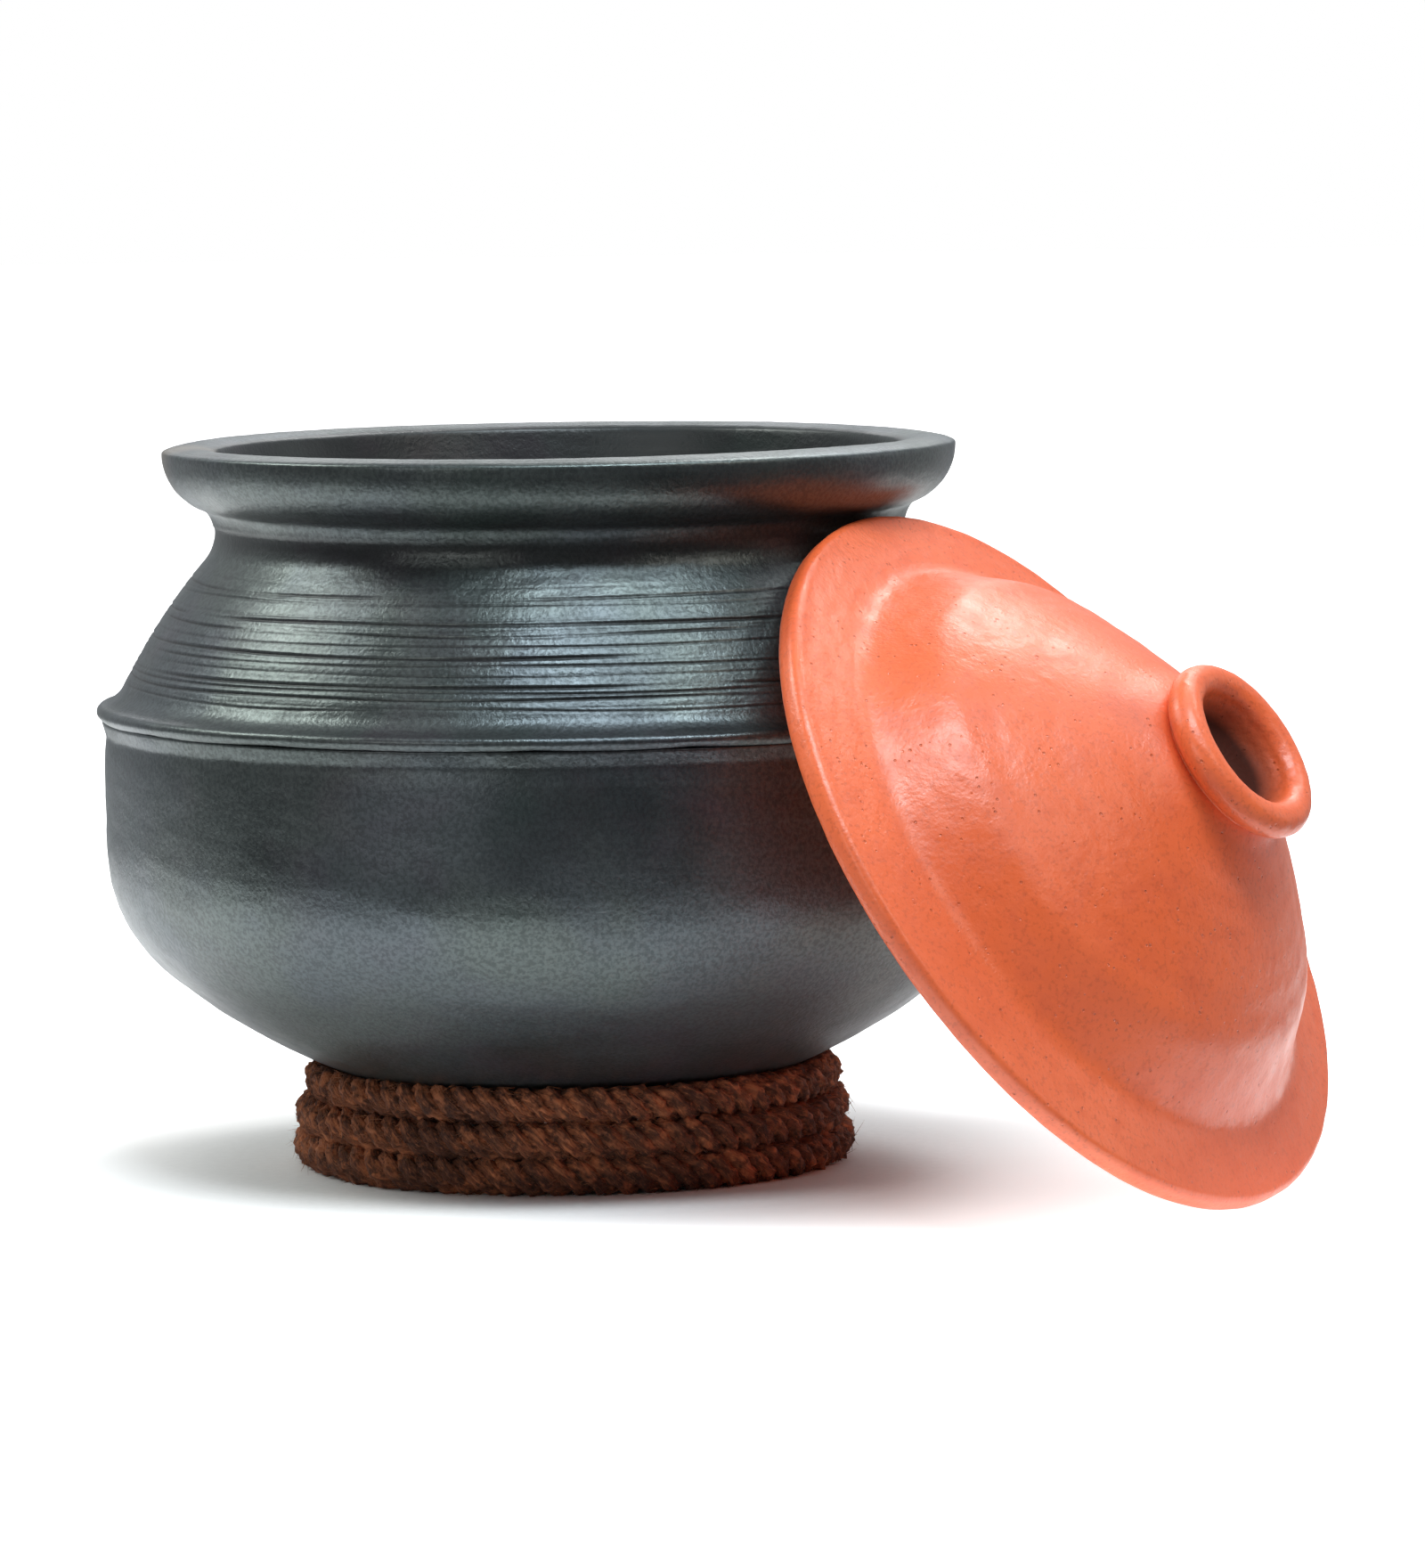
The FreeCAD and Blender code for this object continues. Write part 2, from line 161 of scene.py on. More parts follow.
def skin(name, points, ring, material, body, replaced, place=Matrix.Identity(4), sharp=()):
    """A closed skin over rows of points round an axis. With ring, the last row joins the first.

    A row that is one point is a pole, and the rows listed in sharp are hard edges.
    """
    rows, columns = points.shape[:2]
    vertices = []
    index = np.zeros((rows, columns), int)
    for row in range(rows):
        if np.ptp(points[row], axis=0).max() < 1e-7:
            index[row] = len(vertices)
            vertices.append(points[row, 0])
        else:
            index[row] = len(vertices) + np.arange(columns)
            vertices.extend(points[row])
    faces = []
    last = rows if ring else rows - 1
    for row in range(last):
        this, below = index[row], index[(row + 1) % rows]
        for column in range(columns):
            after = (column + 1) % columns
            corners = (this[column], below[column], below[after], this[after])
            faces.append(tuple(dict.fromkeys(int(c) for c in corners)))
    mesh = bpy.data.meshes.new(name)
    mesh.from_pydata([tuple(v) for v in vertices], [], faces)
    mesh.transform(place)
    item = piece(name, mesh, material, body, replaced)
    for row in sharp:
        edge_ring = set(index[row].tolist())
        for edge in mesh.edges:
            if edge.vertices[0] in edge_ring and edge.vertices[1] in edge_ring:
                edge.use_edge_sharp = True
    return item


def piece(name, mesh, material, body, replaced=()):
    """Puts a mesh in the scene as a piece of the object."""
    mesh.shade_smooth()
    mesh.materials.append(material)
    item = bpy.data.objects.new(name, mesh)
    bpy.context.scene.collection.objects.link(item)
    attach(item, body)
    if replaced:
        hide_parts(*replaced)
    return item


def spin(outline, columns, relief, ring=False):
    """Rows of points of an outline turned round Z, raised along its normals by relief.

    relief(turn, radius, height) is in metres and takes radians and metres.
    """
    normal = facing(outline, ring)
    turn = np.arange(columns) / columns * TAU
    radius, height = outline[:, :1], outline[:, 1:]
    raised = relief(turn[None, :], radius, height) * np.clip(radius / CALM_MIDDLE, 0, 1)
    across = radius + normal[:, :1] * raised
    up = height + normal[:, 1:] * raised
    across = np.where(radius < 1e-7, 0, across)
    return np.stack([across * np.cos(turn), across * np.sin(turn), up + 0 * turn], axis=2)


# ---------------------------------------------------------------- material helpers


class Shader:
    """A node material under construction."""

    def __init__(self, name):
        self.material = bpy.data.materials.new(name)
        self.material.use_nodes = True
        self.tree = self.material.node_tree
        self.surface = self.tree.nodes["Principled BSDF"]
        self.place = self.add("TexCoord").outputs["Object"]

    def add(self, kind, settings=(), **inputs):
        """A new node with its settings and inputs. _ is a space in an input's name, and i2 is input 2."""
        node = self.tree.nodes.new("ShaderNode" + kind)
        for key, value in dict(settings).items():
            setattr(node, key, value)
        for key, value in inputs.items():
            self.plug(node, key.replace("_", " "), value)
        return node

    def plug(self, node, key, value):
        socket = node.inputs[int(key[1:])] if key[0] == "i" and key[1:].isdigit() else node.inputs[key]
        if isinstance(value, bpy.types.NodeSocket):
            self.tree.links.new(value, socket)
        else:
            socket.default_value = value

    def scaled(self, x, y, z, vector=None):
        """Coordinates stretched along each axis, the object's own unless a vector is given."""
        return self.add("Mapping", Vector=vector or self.place, Scale=(x, y, z)).outputs["Vector"]

    def noise(self, scale, detail=3.0, roughness=0.55, vector=None, distortion=0.0):
        return self.add("TexNoise", Vector=vector or self.place, Scale=scale, Detail=detail,
                        Roughness=roughness, Distortion=distortion).outputs["Fac"]

    def spread(self, value, low, high, to_low=0.0, to_high=1.0):
        """The value's stretch from low to high, mapped smoothly."""
        node = self.add("MapRange", {"interpolation_type": "SMOOTHSTEP"}, Value=value)
        for key, number in (("From Min", low), ("From Max", high), ("To Min", to_low), ("To Max", to_high)):
            node.inputs[key].default_value = number
        return node.outputs["Result"]

    def times(self, a, b):
        return self.add("Math", {"operation": "MULTIPLY"}, i0=a, i1=b).outputs["Value"]

    def plus(self, a, b):
        return self.add("Math", {"operation": "ADD"}, i0=a, i1=b).outputs["Value"]

    def mix(self, share, a, b, way="MIX"):
        """Colour a where share is 0 and b where it is 1, or the two blended another way."""
        node = self.add("Mix", {"data_type": "RGBA", "blend_type": way})
        for number, value in ((0, share), (6, a), (7, b)):
            if isinstance(value, bpy.types.NodeSocket):
                self.tree.links.new(value, node.inputs[number])
            else:
                node.inputs[number].default_value = (*value, 1) if isinstance(value, tuple) else value
        return node.outputs[2]

    def near(self, point, reach, soft=0.5):
        """1 near a point of the object, falling to 0 at reach. Within soft * reach it stays at 1."""
        gap = self.add("VectorMath", {"operation": "DISTANCE"}, i0=self.place, i1=tuple(point))
        return self.spread(gap.outputs["Value"], reach * soft, reach, 1.0, 0.0)

    def bump(self, height, depth, normal=None):
        """A normal roughened by height, depth metres deep, over another bump's normal if one is given."""
        node = self.add("Bump", Height=height, Distance=depth)
        if normal:
            self.tree.links.new(normal, node.inputs["Normal"])
        return node.outputs["Normal"]

    def finish(self, **inputs):
        """Sets the surface shader's inputs and gives the material."""
        for key, value in inputs.items():
            self.plug(self.surface, key.replace("_", " "), value)
        return self.material


# ---------------------------------------------------------------- rope ring

# Radius and height of each turn's middle in millimetres, the lowest first.
TURN_CENTRES = [(71.3, 5.0), (70.4, 13.9), (67.9, 23.0)]
TURN_SHIFT = RIGHT_IN_VIEW * 1.3 * MM
# Degrees: where the lower end lies, how far each turn runs level, and how far it then climbs to the next.
START_AZIMUTH = 135
TURN_RUN = 335
CLIMB_RUN = 25
ROUTE_POINTS = 88
# The ball that the pot's bottom is part of, where it presses into the rope.
SEAT_CENTRE = 179.78 * MM
SEAT_RADIUS = 166.15 * MM
STRAND_RADIUS = 2.95 * MM
STRAND_OFFSET = 2.25 * MM
STRAND_LAY = -18 * MM
WHIPPED_RUN = 11 * MM
# The rope's centreline is cut to this step, and its whippings take so many steps of it.
LINE_STEP = 0.9 * MM
WHIPPED_STEPS = 14
FIBRE_COUNT = 8000


def rope_centre(travelled):
    """Radius and height of the rope's middle after turning that many degrees from its lower end."""
    turns = travelled / 360
    level = min(int(turns), 2)
    climb = (travelled - level * 360 - TURN_RUN) / CLIMB_RUN
    here = Vector(TURN_CENTRES[level])
    if climb > 0 and level < 2:
        share = climb * climb * (3 - 2 * climb)
        here = here.lerp(Vector(TURN_CENTRES[level + 1]), share)
    return here * MM


def rope_line():
    """The rope's centreline: a NURBS spline through loose turns, and its points as a dense line."""
    draw = random.Random(7)
    length = (len(TURN_CENTRES) - 1) * 360 + TURN_RUN
    data = bpy.data.curves.new("rope_route", "CURVE")
    data.dimensions = "3D"
    spline = data.splines.new("NURBS")
    spline.points.add(ROUTE_POINTS - 1)
    for number, point in enumerate(spline.points):
        travelled = length * number / (ROUTE_POINTS - 1)
        radius, height = rope_centre(travelled)
        radius += draw.uniform(-0.35, 0.35) * MM
        height += draw.uniform(-0.15, 0.3) * MM
        azimuth = math.radians(START_AZIMUTH + travelled)
        across = TURN_SHIFT.x + radius * math.cos(azimuth)
        aside = TURN_SHIFT.y + radius * math.sin(azimuth)
        point.co = (across, aside, height, 1)
    spline.order_u = 3
    spline.use_endpoint_u = True
    spline.resolution_u = 14
    route = bpy.data.objects.new("rope_route", data)
    bpy.context.scene.collection.objects.link(route)
    line = bpy.data.meshes.new_from_object(route)
    points = np.array([v.co for v in line.vertices], float)
    bpy.data.objects.remove(route)
    return points


def even(points, step):
    """The same line with evenly spaced points, and how far along it each one is."""
    gaps = np.linalg.norm(np.diff(points, axis=0), axis=1)
    run = np.concatenate([[0], np.cumsum(gaps)])
    count = int(run[-1] / step) + 1
    at = np.linspace(0, run[-1], count)
    return np.stack([np.interp(at, run, points[:, k]) for k in range(3)], axis=1), at


def axes_of(points):
    """Unit vectors along a nearly level line, across it (outwards) and up."""
    along = np.gradient(points, axis=0)
    along /= np.linalg.norm(along, axis=1)[:, None]
    across = np.cross(along, (0, 0, 1))
    across /= np.linalg.norm(across, axis=1)[:, None]
    return along, across, np.cross(across, along)


def pressed(points):
    """Rope is squeezed flat where it bears on the floor and where the pot's bottom sits on it."""
    points = points.copy()
    points[..., 2] = np.maximum(points[..., 2], 0.05 * MM)
    seat = points - np.array([0, 0, SEAT_CENTRE])
    gap = np.linalg.norm(seat, axis=-1, keepdims=True)
    return np.where(gap < SEAT_RADIUS, seat / gap * SEAT_RADIUS, seat) + np.array([0, 0, SEAT_CENTRE])


def tube(centres, across, up, radii, sides, vertices, faces):
    """Adds a capped tube to lists of vertices and faces. radii is per centre and side."""
    first = len(vertices)
    angle = np.arange(sides) / sides * TAU
    rings = (centres[:, None] + radii[..., None] * (
        np.cos(angle)[None, :, None] * across[:, None] + np.sin(angle)[None, :, None] * up[:, None]))
    vertices.extend(rings.reshape(-1, 3))
    for row in range(len(centres) - 1):
        for side in range(sides):
            a = first + row * sides + side
            b = first + row * sides + (side + 1) % sides
            faces.append((a, b, b + sides, a + sides))
    faces.append(tuple(range(first + sides - 1, first - 1, -1)))
    end = first + (len(centres) - 1) * sides
    faces.append(tuple(range(end, end + sides)))


def mesh_of(name, vertices, faces):
    """A mesh from lists of points and faces."""
    mesh = bpy.data.meshes.new(name)
    mesh.from_pydata([tuple(v) for v in vertices], [], faces)
    return mesh


def make_rope(material, fibre_material, twine_material):
    """Three strands of four yarns each, laid round the centreline, with loose fibres and whipped ends."""
    line, run = even(rope_line(), LINE_STEP)
    along, across, up = axes_of(line)
    whipped = np.clip(np.minimum(run, run[-1] - run) / WHIPPED_RUN, 0, 1)
    girth = 0.8 + 0.2 * np.clip((whipped - 0.8) / 0.2, 0, 1)
    sides = 16
    angle = np.arange(sides) / sides * TAU
    vertices, faces, grain = [], [], []
    draw = random.Random(11)
    for strand in range(3):
        swing = run / STRAND_LAY * TAU + strand * TAU / 3
        swell = wobble(40 + strand, 0.05, 0, 60)(0, run) + wobble(50 + strand, 0.035, 0, 260)(0, run)
        offset = STRAND_OFFSET * girth
        centres = line + offset[:, None] * (np.cos(swing)[:, None] * across + np.sin(swing)[:, None] * up)
        yarns = 4 * angle[None, :] - (run / (6 * MM) * TAU + draw.uniform(0, TAU))[:, None]
        rough = wobble(60 + strand, 0.11, 9, 520, 48)(angle[None, :], run[:, None])
        ridges = 1 + swell[:, None] + 0.08 * np.cos(yarns) + rough
        radii = STRAND_RADIUS * girth[:, None] * ridges
        tube(centres, across, up, radii, sides, vertices, faces)
        twist = (angle[None, :] - swing[:, None] * 0.4) / TAU
        lay = np.stack([run[:, None] + 0 * twist, twist + strand * 3.3, 0 * twist + strand], axis=2)
        grain.extend(lay.reshape(-1, 3))
    shaped = pressed(np.array(vertices))
    mesh = mesh_of("rope", shaped, faces)
    mark = mesh.attributes.new("lay", "FLOAT_VECTOR", "POINT")
    mark.data.foreach_set("vector", np.array(grain, np.float32).ravel())
    rope = piece("rope", mesh, material, "stand", ["rope_coil"])
    fibres = make_fibres(line, along, across, up, fibre_material)
    lower = make_whipping("lower_end_whipping", line[:WHIPPED_STEPS], twine_material, "lower_whipping")
    last_steps = line[::-1][:WHIPPED_STEPS]
    upper = make_whipping("upper_end_whipping", last_steps, twine_material, "upper_whipping")


def make_fibres(line, along, across, up, material):
    """Loose ends of coir that stand off the rope all round."""
    draw = random.Random(23)
    vertices, faces = [], []
    for _ in range(FIBRE_COUNT):
        spot = draw.randrange(4, len(line) - 4)
        angle = draw.uniform(0, TAU)
        out = across[spot] * math.cos(angle) + up[spot] * math.sin(angle)
        side = np.cross(along[spot], out)
        heading = along[spot] * draw.choice((-1, 1)) + side * draw.uniform(-1.2, 1.2)
        reach = draw.uniform(2.0, 5.5) * MM
        lift = draw.uniform(0.0, 0.35)
        base = line[spot] + out * draw.uniform(4.0, 5.0) * MM
        share = np.linspace(0, 1, 4)[:, None]
        bend = draw.uniform(-0.5, 0.5)
        hair = base + reach * share * (heading * 0.8 + out * lift + side * bend * share)
        hair = pressed(hair)
        thin = draw.uniform(0.06, 0.15) * MM * (1.1 - share)
        tube(hair, np.repeat(out[None], 4, 0), np.repeat(side[None], 4, 0),
             np.repeat(thin, 3, 1), 3, vertices, faces)
    mesh = mesh_of("rope_fibres", vertices, faces)
    return piece("rope_fibres", mesh, material, "stand")


def make_whipping(name, line, material, node):
    """Thin twine wound tightly round a rope's end."""
    wraps = 9
    span, run = even(line, 0.25 * MM)
    _, across, up = axes_of(span)
    turns = np.linspace(0, wraps * TAU, 40 * wraps)
    at = np.linspace(0.8 * MM, WHIPPED_RUN - 0.6 * MM, len(turns))
    middle = np.stack([np.interp(at, run, span[:, k]) for k in range(3)], axis=1)
    outward = np.stack([np.interp(at, run, across[:, k]) for k in range(3)], axis=1)
    upward = np.stack([np.interp(at, run, up[:, k]) for k in range(3)], axis=1)
    spoke = np.cos(turns)[:, None] * outward + np.sin(turns)[:, None] * upward
    coil = middle + 4.25 * MM * spoke
    forward = np.gradient(middle, axis=0)
    forward /= np.linalg.norm(forward, axis=1)[:, None]
    vertices, faces = [], []
    radii = np.full((len(coil), 8), 0.56 * MM)
    tube(coil, spoke, forward, radii, 8, vertices, faces)
    mesh = mesh_of(name, pressed(np.array(vertices)), faces)
    return piece(name, mesh, material, "stand", [node])


# ---------------------------------------------------------------- pot

POT_COLUMNS = 284
# The shoulder and the bowl meet at this height, and the shoulder is scored between the next two.
PARTING = 122.2 * MM
SCORED_FROM = 126.5 * MM
SCORED_TO = 166.5 * MM
# The bold lines on the shoulder: height, depth and half width in millimetres.
SCORED_LINES = [
    (159.2, 0.2, 0.32), (157.4, 0.12, 0.28), (152.7, 0.32, 0.34), (150.3, 0.26, 0.3),
    (147.4, 0.14, 0.28), (144.8, 0.34, 0.36), (142.5, 0.2, 0.3), (140.2, 0.16, 0.3),
    (137.6, 0.34, 0.36), (136.0, 0.2, 0.3), (134.4, 0.3, 0.34), (131.6, 0.16, 0.32),
]
FAINT_LINES = 22
DENTS = 170


def shoulder_marks():
    """Lines as height, depth and half width, and dents as azimuth, height, two reaches and depth.

    One number is passed over for each line, which keeps the marks in the places chosen for them.
    """
    draw = random.Random(3)
    grooves = list(SCORED_LINES)
    for _ in grooves:
        draw.random()
    for _ in range(FAINT_LINES):
        grooves.append((draw.uniform(131, 163), draw.uniform(0.02, 0.06), draw.uniform(0.2, 0.32)))
        draw.random()
    dents = []
    for _ in range(DENTS):
        azimuth = draw.uniform(0, TAU)
        height = draw.uniform(130, 162) * MM
        reaches = (draw.uniform(1.2, 6) * MM, draw.uniform(0.25, 0.6) * MM)
        dents.append((azimuth, height, *reaches, draw.uniform(0.04, 0.14) * MM))
    return grooves, dents


def make_pot_shoulder(material):
    """Rim, neck, turned shoulder and ridge."""
    outline = trace(
        (92.6, 193.9, 19.5, 0.5),
        (106.6, 193.9, 0.9, 0.3),
        (107.2, 193.0, 16.3, 0.8),
        (95.6, 177.4, -10.2, 0.6),
        (95.7, 164.4, 167, 0.28),
        (118, 130.8, -9.6, 0.4),
        (124.3, 125.7, 1.75, 0.3),
        (124.7, 122.6, 0, 0.25),
        (124.2, 122.15, 0, 0.4),
        (117, 122.3, -161, 1.6),
        (90.5, 161.3, 16.2, 1.2),
        (88.1, 176, 0, 1.4),
        (91.6, 192.6, 1.6, 0.4),
        (92.6, 193.9, 0, 1),
    )[:-1]
    outline = soften(outline, 2, ring=True)
    grooves, dents = shoulder_marks()
    warp = wobble(1, 0.22 * MM, 4, 12)
    bands = wobble(2, 0.03 * MM, 2, 190, 14)
    grain = wobble(4, 0.025 * MM, 90, 260, 40)
    cut = wobble(5, 0.28 * MM, 14, 0, 12)
    marks = []

    def relief(turn, radius, height):
        throat = 93.5 * MM - 50 * MM * np.clip((height - 176 * MM) / (20 * MM), 0, 1)
        outside = (radius > throat) & (height < 194.5 * MM)
        fade_in = np.clip((height - SCORED_FROM) / (3 * MM), 0, 1)
        fade_out = np.clip((SCORED_TO - height) / (3 * MM), 0, 1)
        outer_face = (radius > 94.5 * MM) & (radius + (height - 130.8 * MM) * 0.664 > 116 * MM)
        outer = fade_in * fade_out * outer_face
        lines = bands(turn, height)
        scored = 0 * lines
        for number, (level, deep, wide) in enumerate(grooves):
            wander = wobble(100 + number, 0.2 * MM, 7, 0, 8)(turn, 0)
            fade = 0.85 + wobble(200 + number, 0.4, 11, 0, 9)(turn, 0)
            gap = (height - level * MM - wander) / (wide * MM)
            strength = np.clip(fade, 0, 1.15) * deep * MM
            lines = lines - strength * np.exp(-gap ** 2) + 0.3 * strength * np.exp(-(gap - 1.7) ** 2)
            scored = np.maximum(scored, np.clip(strength / (0.26 * MM), 0, 1) * np.exp(-1.6 * gap ** 2))
        for azimuth, level, long, high, deep in dents:
            sideways = np.abs((turn - azimuth + math.pi) % TAU - math.pi) * radius
            lines = lines - deep * np.exp(-(sideways / long) ** 2 - ((height - level) / high) ** 2)
        inside = wobble(6, 0.12 * MM, 2, 130, 12)(turn, height) * ~outside
        marks.append(outer * scored)
        return warp(turn, height) + grain(turn, height) + outer * lines + inside

    points = spin(outline, POT_COLUMNS, relief, ring=True)
    turn = np.arange(POT_COLUMNS) / POT_COLUMNS * TAU
    lip = np.clip(1 - np.abs(outline[:, 1] - PARTING) / (1.2 * MM), 0, 1) * (outline[:, 0] > 122.5 * MM)
    points[..., 2] -= lip[:, None] * np.abs(cut(turn, 0))[None, :]
    item = skin("shoulder", points, True, material, "pot", ["pot_shoulder"])
    # The scored lines are kept on the skin as a mask, which the clay uses to paint shade into them.
    mark = item.data.attributes.new("scored", "FLOAT", "POINT")
    mark.data.foreach_set("value", np.array(marks[0], np.float32).ravel())


def make_pot_bowl(material):
    """Lower wall and round bottom, with a soft undercut below the ridge."""
    outline = trace(
        (0, 19.8, -160, 3.0),
        (103.1, 57.45, -41, 2.2),
        (117.7, 88.8, 0, 2.4),
        (117.7, 106, 0, 2.4),
        (117, 122.2, 0, 1.0),
        (123.7, 122.2, 0, 0.3),
        (124.2, 121.6, 0, 0.4),
        (122.95, 117.4, 0, 0.5),
        (123.45, 112, 0, 0.9),
        (123.7, 106, 0, 1.2),
        (123.7, 88.8, 47, 1.2),
        (107.0, 52.86, 166, 1.4),
        (0, 13.78, 0, 1),
    )
    outline = soften(outline, 2)
    outline[0, 0] = outline[-1, 0] = 0
    warp = wobble(1, 0.22 * MM, 4, 12)
    strokes = wobble(12, 0.16 * MM, 12, 28, 16)
    grain = wobble(13, 0.03 * MM, 60, 220, 30)
    bands = wobble(14, 0.05 * MM, 1, 120, 12)

    def relief(turn, radius, height):
        below_ridge = np.clip((119 * MM - height) / (10 * MM), 0, 1)
        trimmed = strokes(turn, height) + bands(turn, height)
        return warp(turn, height) + grain(turn, height) + below_ridge * trimmed

    points = spin(outline, POT_COLUMNS, relief)
    skin("bowl", points, False, material, "pot", ["pot_bowl"])


# ---------------------------------------------------------------- lid

LID_COLUMNS = 420
EDGE_ROUND = 3.5 * MM
# The knob stands a little off the lid's axis, and its neck runs out into the dome at this radius.
KNOB_OFFSET = 3.1 * MM
SKIRT_REACH = 36 * MM
KNOB_COLUMNS = 200


def lid_place():
    """The lid's own frame: Z along its axis from the plane of its rim, X towards the floor."""
    joint = [j for j in frame["joints"] if j["name"] == "lid_lift"][0]
    axis = Vector(joint["axis"]).normalized()
    low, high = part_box("lid_dome")
    edge_radius = high.y - EDGE_ROUND
    centre = Vector((low.x + EDGE_ROUND + edge_radius * axis.z, 0, (low.z + high.z) / 2))
    base = centre - axis * EDGE_ROUND
    down = Vector((axis.z, 0, -axis.x))
    place = Matrix((down, (0, 1, 0), axis)).transposed().to_4x4()
    place.translation = base
    return place


DOME_TOP = trace(
    (0, 54.6, 0, 3),
    (22, 54.6, 0, 1.2),
    (25.5, 54.6, 379, 1.0),
    (69, 28.9, 14, 0.5),
    (72, 26, 0, 0.6),
    (81.5, 13.4, -9, 0.6),
    (86.4, 10.3, 0, 0.6),
    (94, 8.66, 0, 0.6),
)
DOME_REST = trace(
    (94, 8.66, 0, 0.6),
    (101.7, 7.0, 2.1, 0.4),
    (103.8, 4.9, 0, 0.5),
    (103.6, 2.6, 2.6, 0.4),
    (101, 0.0, 0, 0.8),
    (93, 0.0, 0, 1.0),
    (77.5, 8.4, 0, 1.5),
    (65.6, 24.0, -373, 2.2),
    (22.4, 49.6, 0, 3),
    (0, 49.6, 0, 3),
)
# The brim runs softly into the dome, and nearer the knob the dome keeps its straight slope.
SOFTNESS = np.clip((DOME_TOP[:, :1] - 40 * MM) / (10 * MM), 0, 1)
DOME = np.concatenate([soften(DOME_TOP, 2) * (1 - SOFTNESS) + soften(DOME_TOP, 14) * SOFTNESS,
                       soften(DOME_REST, 3)[1:]])
DOME[0, 0] = DOME[-1, 0] = 0


def cone_height(radius):
    """Height of the dome's outside at a radius, as if the slope went on up under the knob."""
    slope = DOME_TOP[DOME_TOP[:, 0] > 26 * MM]
    rise = (slope[0, 1] - slope[1, 1]) / (slope[1, 0] - slope[0, 0])
    return np.interp(radius, slope[:, 0], slope[:, 1]) + rise * np.maximum(slope[0, 0] - radius, 0)


def dome_relief(turn, radius):
    """How far the dome's skin stands off its outline."""
    warp = wobble(21, 0.3 * MM, 4, 10)
    rings = wobble(22, 0.05 * MM, 1, 160, 14)
    brim = wobble(24, 0.22 * MM, 9, 0, 10)
    on_brim = np.exp(-((radius - 85 * MM) / (9 * MM)) ** 2)
    return warp(turn, radius) + rings(turn, radius) + on_brim * brim(turn, 0)


def make_lid_dome(material, place):
    """Dome and brim, hollow underneath."""
    grain = wobble(23, 0.03 * MM, 70, 260, 30)

    def relief(turn, radius, height):
        past_skirt = np.clip((radius - 41.5 * MM) / (6 * MM), 0, 1)
        return dome_relief(turn, radius) + past_skirt * grain(turn, radius)

    points = spin(DOME, LID_COLUMNS, relief)
    skin("dome", points, False, material, "lid", ["lid_dome"], place)


def make_lid_knob(material, place):
    """Hollow knob whose neck runs out into the dome all round."""
    head = trace(
        (0, 56.3, 0, 1.2),
        (10.6, 56.7, -5, 0.6),
        (15.5, 61.0, 0, 0.5),
        (16.4, 63.5, 4.5, 0.45),
        (20.9, 68.0, 4.5, 0.45),
        (25.4, 63.5, 4.5, 0.45),
        (21.6, 59.0, 0, 0.4),
        (21.1, 58.5, 0, 0.4),
        (20.95, 57.9, 0, 0.4),
    )
    head = soften(head, 2)
    head[0, 0] = 0
    relief = wobble(31, 0.12 * MM, 4, 60)
    grain = wobble(32, 0.03 * MM, 40, 400, 24)
    rows = spin(head, KNOB_COLUMNS, lambda turn, radius, height: relief(turn, height) + grain(turn, height))
    turn = np.arange(KNOB_COLUMNS) / KNOB_COLUMNS * TAU
    waist = np.hypot(rows[-1, :, 0], rows[-1, :, 1])
    top = rows[-1, :, 2]
    foot = SKIRT_REACH * (1 + wobble(33, 0.025, 4, 0)(turn, 0)) - KNOB_OFFSET * np.cos(turn)
    skirt = []
    for share in np.linspace(0, 1, 40)[1:] ** 1.3:
        radius = waist + (foot - waist) * share
        across = radius * np.cos(turn) + KNOB_OFFSET
        aside = radius * np.sin(turn)
        from_axis = np.hypot(across, aside)
        slope = (cone_height(from_axis + 1 * MM) - cone_height(from_axis - 1 * MM)) / (2 * MM)
        raised = dome_relief(np.arctan2(aside, across), from_axis) * np.hypot(1, slope)
        surface = cone_height(from_axis) + raised
        height = surface + 0.02 * MM + (top - surface) * (1 - share) ** 4
        skirt.append(np.stack([radius * np.cos(turn), radius * np.sin(turn), height], axis=1))
    edge = len(rows) + len(skirt) - 1
    inner_level = 52 * MM + 0 * turn
    under = []
    for radius, level in ((foot - 0.8 * MM, skirt[-1][:, 2] - 0.6 * MM),
                          (21 * MM + 0 * turn, inner_level), (0 * turn, inner_level)):
        under.append(np.stack([radius * np.cos(turn), radius * np.sin(turn), level], axis=1))
    points = np.concatenate([rows, np.array(skirt), np.array(under)])
    points[..., 0] += KNOB_OFFSET
    skin("knob", points, False, material, "lid", ["lid_knob"], place, [edge])


# ---------------------------------------------------------------- materials


